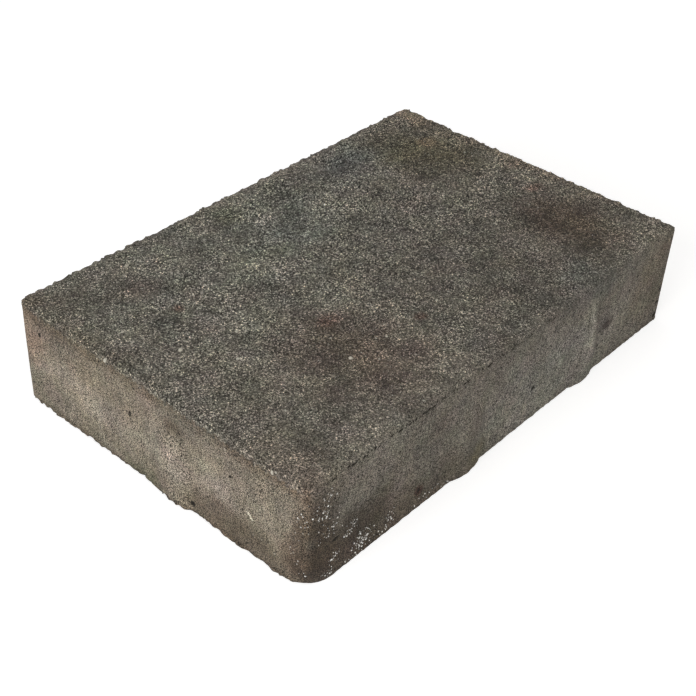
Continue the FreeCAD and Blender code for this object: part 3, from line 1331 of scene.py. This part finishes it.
    def arris_dents(self) -> list[Dent]:
        """Draw the row of small pits that air left just under the arris of the long sides.

        Returns:
            The pits, which thin out away from the worn corner and the one opposite it.
        """
        draw = np.random.default_rng(self.seed)
        dents = []
        for side in (Side.FRONT, Side.BACK):
            along = self.pits_from
            while along < self.pits_to:
                along += 0.9 + draw.exponential(2.2) * (1 + along / 80)
                drop = draw.uniform(1.3, 2.3)
                reach = (draw.uniform(0.6, 1.7), draw.uniform(0.5, 0.9))
                dents.append(Dent(side, along, THICKNESS - drop, reach, draw.uniform(0.3, 0.8)))
        return dents


# ---- Grains ----


def grain_mesh(
    name: str, middles: np.ndarray, radii: np.ndarray, tints: np.ndarray, draw: np.random.Generator
) -> bpy.types.Mesh:
    """Join many small angular stones into one mesh.

    Args:
        name: The mesh's name.
        middles: Where the stones are, in millimetres.
        radii: How large each is.
        tints: The tint of each, from 0 to 1.
        draw: The seeded source of their turns and proportions.

    Returns:
        The new mesh, with each stone's tint on its points.
    """
    golden = (1 + math.sqrt(5)) / 2
    corners = np.array([(0, a, b * golden) for a in (-1, 1) for b in (-1, 1)])
    corners = np.concatenate([np.roll(corners, turn, axis=1) for turn in range(3)]) / math.hypot(1, golden)
    gaps = np.linalg.norm(corners[:, None] - corners[None], axis=2)
    touching = (gaps > 0.1) & (gaps < 1.2)
    faces = [
        (a, b, c)
        for a in range(12)
        for b in range(a + 1, 12)
        for c in range(b + 1, 12)
        if touching[a, b] and touching[b, c] and touching[a, c]
    ]
    outward = [np.dot(np.cross(corners[b] - corners[a], corners[c] - corners[a]), corners[a]) > 0
               for a, b, c in faces]
    faces = np.array([face if out else face[::-1] for face, out in zip(faces, outward)])
    count = len(middles)
    turns = np.linalg.qr(draw.normal(size=(count, 3, 3)))[0]
    turns *= np.sign(np.linalg.det(turns))[:, None, None]
    shapes = radii[:, None, None] * draw.uniform(0.65, 1.2, (count, 1, 3)) * corners
    shapes *= draw.uniform(0.8, 1.15, (count, 12, 1))
    places = (middles[:, None] + shapes @ turns).reshape(-1, 3)
    all_faces = (faces[None] + 12 * np.arange(count)[:, None, None]).reshape(-1, 3)
    mesh = bpy.data.meshes.new(name)
    mesh.from_pydata(places * MM, [], all_faces.tolist())
    mesh.attributes.new("tint", "FLOAT", "POINT").data.foreach_set("value", np.repeat(tints, 12))
    return mesh


@dataclass
class Stones:
    """Small stones that sit in the slab's skin.

    Their radii run from the least to the most, and small ones are commoner where the lean is less.
    """

    finish: MineralFinish
    radii: tuple[float, float]
    lean: float
    jitter: float
    sunk: float
    seed: int

    def settle(
        self, skin: Skin, chosen: Sequence[int], draw: np.random.Generator
    ) -> tuple[np.ndarray, np.ndarray]:
        """Draw the stones' radii, and sink each stone into the skin close to a point of it.

        Args:
            skin: The slab's skin.
            chosen: The numbers of the skin's points.
            draw: The seeded source of radii and places.

        Returns:
            The middles of the stones and their radii.
        """
        least, most = self.radii
        radii = least + (most - least) * draw.power(self.lean, len(chosen))
        aside = draw.uniform(-self.jitter, self.jitter, (len(chosen), 3))
        out = skin.normals[chosen]
        aside -= out * (aside * out).sum(axis=1)[:, None]
        return skin.places[chosen] + aside - out * (radii * self.sunk)[:, None], radii


@dataclass
class SandGrains(Stones):
    """Sharp sand that stands a little proud of the wearing face and crowds along its rim."""

    radii: tuple[float, float] = (0.18, 0.46)
    lean: float = 0.6
    jitter: float = 0.5
    sunk: float = 0.5
    seed: int = 21
    count: int = 6200
    rim_count: int = 2200
    white_share: float = 0.07
    rim_tint: float = 0.35
    pebble_tint: float = 0.92

    def build(self, groups: SharedGroups, skin: Skin) -> bpy.types.Object:
        """Sink the grains into the slab's skin.

        Args:
            groups: The shared node groups.
            skin: The slab's skin.

        Returns:
            The new object.
        """
        draw = np.random.default_rng(self.seed)
        x, y, z = abs(skin.places.T)
        inset = np.minimum(LENGTH / 2 - x, WIDTH / 2 - y)
        rim = (THICKNESS - z < 4.0) & (inset < 3.0)
        top = (THICKNESS - z < 1.2) & ~rim
        picks = ((top, self.count), (rim, self.rim_count))
        chosen = np.concatenate(
            [draw.choice(np.flatnonzero(part), count, replace=False) for part, count in picks]
        )
        middles, radii = self.settle(skin, chosen, draw)
        white = draw.random(len(chosen)) < self.white_share
        tints = np.where(white, 1.0, draw.beta(1.5, 2.2, len(chosen)))
        # Rim grains are tinted darker, and all grains darker still near the left end: partly their own
        # darker colour, partly painted shade along the rim.
        tints[self.count:] *= self.rim_tint
        from_left = LENGTH / 2 + skin.places[chosen, 0]
        tints *= 0.5 + 0.5 * smooth_step(3.0, 14.0, from_left)
        middles = np.concatenate([middles, [stone.place for stone in PEBBLES]])
        radii = np.concatenate([radii, [stone.radius for stone in PEBBLES]])
        tints = np.concatenate([tints, np.full(len(PEBBLES), self.pebble_tint)])
        mesh = grain_mesh("sand_grains", middles, radii, tints, draw)
        return add_piece("sand_grains", mesh, self.finish.build(groups))


@dataclass
class LimeCrumbs(Stones):
    """White crumbs of lime splashed about the worn corner."""

    radii: tuple[float, float] = (0.18, 0.6)
    lean: float = 0.45
    jitter: float = 0.6
    sunk: float = 0.2
    seed: int = 33
    lift: float = 1.4

    def build(self, groups: SharedGroups, skin: Skin) -> bpy.types.Object:
        """Stick the crumbs to the slab's skin.

        Args:
            groups: The shared node groups.
            skin: The slab's skin.

        Returns:
            The new object.
        """
        draw = np.random.default_rng(self.seed)
        wanted = np.concatenate([self.scatter(cluster, draw) for cluster in CRUMBS])
        wanted[:, 2] = abs(wanted[:, 2])
        x, y, z = skin.places.T
        near = np.flatnonzero((x < 20) & ((y < -60) | (x < -100)) & (z < THICKNESS - 1))
        chosen = [near[((skin.places[near] - spot) ** 2).sum(axis=1).argmin()] for spot in wanted]
        middles, radii = self.settle(skin, chosen, draw)
        middles[:, 2] = np.maximum(middles[:, 2], radii * self.lift)
        mesh = grain_mesh("lime_crumbs", middles, radii, draw.uniform(0, 1, len(chosen)), draw)
        return add_piece("lime_crumbs", mesh, self.finish.build(groups))

    def scatter(self, cluster: CrumbCluster, draw: np.random.Generator) -> np.ndarray:
        """Draw the places of one cluster's crumbs.

        Args:
            cluster: Where the cluster is.
            draw: The seeded source of the places.

        Returns:
            The places in millimetres.
        """
        reach = np.array(cluster.side.reach(*cluster.reach, 0.0))
        return np.array(cluster.place) + reach * draw.normal(0.0, 0.6, (cluster.count, 3))


# ---- The studio ----


@dataclass
class Studio:
    """The floor, the lamps, the world and the camera."""

    floor_finish: FloorFinish
    floor_span: float = 6000.0
    azimuth: float = -50.0
    elevation: float = 37.32
    roll: float = 3.05
    lens: float = 67.04
    aim: Triple = (-32.3, -17.1, 31.0)
    distance: float = 668.2
    ambient: float = 0.45
    ambient_colour: Colour = (1.0, 0.98, 0.95, 1.0)
    lamp_aim: Triple = (0.0, 0.0, 31.0)

    def build(self) -> None:
        """Make everything round the slab."""
        self.floor()
        self.world()
        self.lamps()
        self.camera()
        bpy.context.scene.view_settings.view_transform = "Standard"

    def floor(self) -> None:
        """Lay the floor at the level of the bed face."""
        half = self.floor_span / 2 * MM
        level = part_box(NODE)[0][2]
        corners = [(x * half, y * half, level) for x, y in ((-1, -1), (1, -1), (1, 1), (-1, 1))]
        mesh = bpy.data.meshes.new("floor")
        mesh.from_pydata(corners, [], [(0, 1, 2, 3)])
        mesh.materials.append(self.floor_finish.build())
        floor = bpy.data.objects.new("floor", mesh)
        bpy.context.scene.collection.objects.link(floor)

    def world(self) -> None:
        """Make a plain grey surround for the light, which the camera sees as white."""
        world = bpy.data.worlds.new("studio")
        world.use_nodes = True
        bpy.context.scene.world = world
        wiring = Wiring(world.node_tree)
        soft = wiring.add("Background", {"Color": self.ambient_colour, "Strength": self.ambient})
        white = wiring.add("Background", {"Color": WHITE, "Strength": 1.0})
        both = wiring.add("MixShader", {0: wiring.shown(), 1: soft.outputs[0], 2: white.outputs[0]})
        wiring.add("OutputWorld", {"Surface": both.outputs[0]})

    def lamps(self) -> None:
        """Hang a large key lamp on the left and a weaker one high in front."""
        self.lamp("key_lamp", azimuth=-84.0, elevation=24.0, away=1500.0, span=900.0, watts=12.0)
        self.lamp("front_lamp", azimuth=-10.0, elevation=50.0, away=1700.0, span=1100.0, watts=3.0)

    def lamp(
        self, name: str, azimuth: float, elevation: float, away: float, span: float, watts: float
    ) -> None:
        """Hang one square area lamp that faces the slab.

        Args:
            name: The lamp's name.
            azimuth: Its bearing in degrees, where 0 is in front of the slab and 90 on its right.
            elevation: Its height in degrees.
            away: Its distance.
            span: Its width.
            watts: Its power.
        """
        data = bpy.data.lights.new(name, "AREA")
        data.size = span * MM
        data.energy = watts
        lamp = bpy.data.objects.new(name, data)
        lamp.matrix_world = self.station(azimuth, elevation, 0.0, self.lamp_aim, away)
        bpy.context.scene.collection.objects.link(lamp)

    def camera(self) -> None:
        """Set up the camera."""
        data = bpy.data.cameras.new("camera")
        data.lens = self.lens
        data.clip_start = 0.01
        camera = bpy.data.objects.new("camera", data)
        bearing = (self.azimuth, self.elevation, self.roll)
        camera.matrix_world = self.station(*bearing, self.aim, self.distance)
        bpy.context.scene.collection.objects.link(camera)
        bpy.context.scene.camera = camera

    def station(
        self, azimuth: float, elevation: float, roll: float, aim: Triple, away: float
    ) -> Matrix:
        """Return the placing of something that looks at a point from a bearing.

        Args:
            azimuth: The bearing in degrees, where 0 is in front of the slab.
            elevation: The height in degrees.
            roll: The turn about the line of sight, in degrees, anticlockwise as the looker sees it.
            aim: The point looked at.
            away: The distance from it.

        Returns:
            The placing in metres, with -Z along the line of sight.
        """
        turn, rise = math.radians(azimuth), math.radians(elevation)
        back = Vector((math.sin(turn) * math.cos(rise), -math.cos(turn) * math.cos(rise), math.sin(rise)))
        right = Vector((math.cos(turn), math.sin(turn), 0.0))
        up = back.cross(right)
        facing = Matrix((right, up, back)).transposed().to_4x4()
        facing = facing @ Matrix.Rotation(math.radians(roll), 4, "Z")
        return Matrix.Translation((Vector(aim) + back * away) * MM) @ facing


def main() -> None:
    """Build the slab, its grains and its studio."""
    logging.basicConfig(level=logging.INFO, format="%(name)s: %(message)s")
    groups = SharedGroups()
    skin = Slab(ConcreteFinish()).build(groups)
    SandGrains(SAND_FINISH).build(groups, skin)
    LimeCrumbs(LIME_FINISH).build(groups, skin)
    Studio(FloorFinish()).build()


if __name__ == "__main__":
    main()
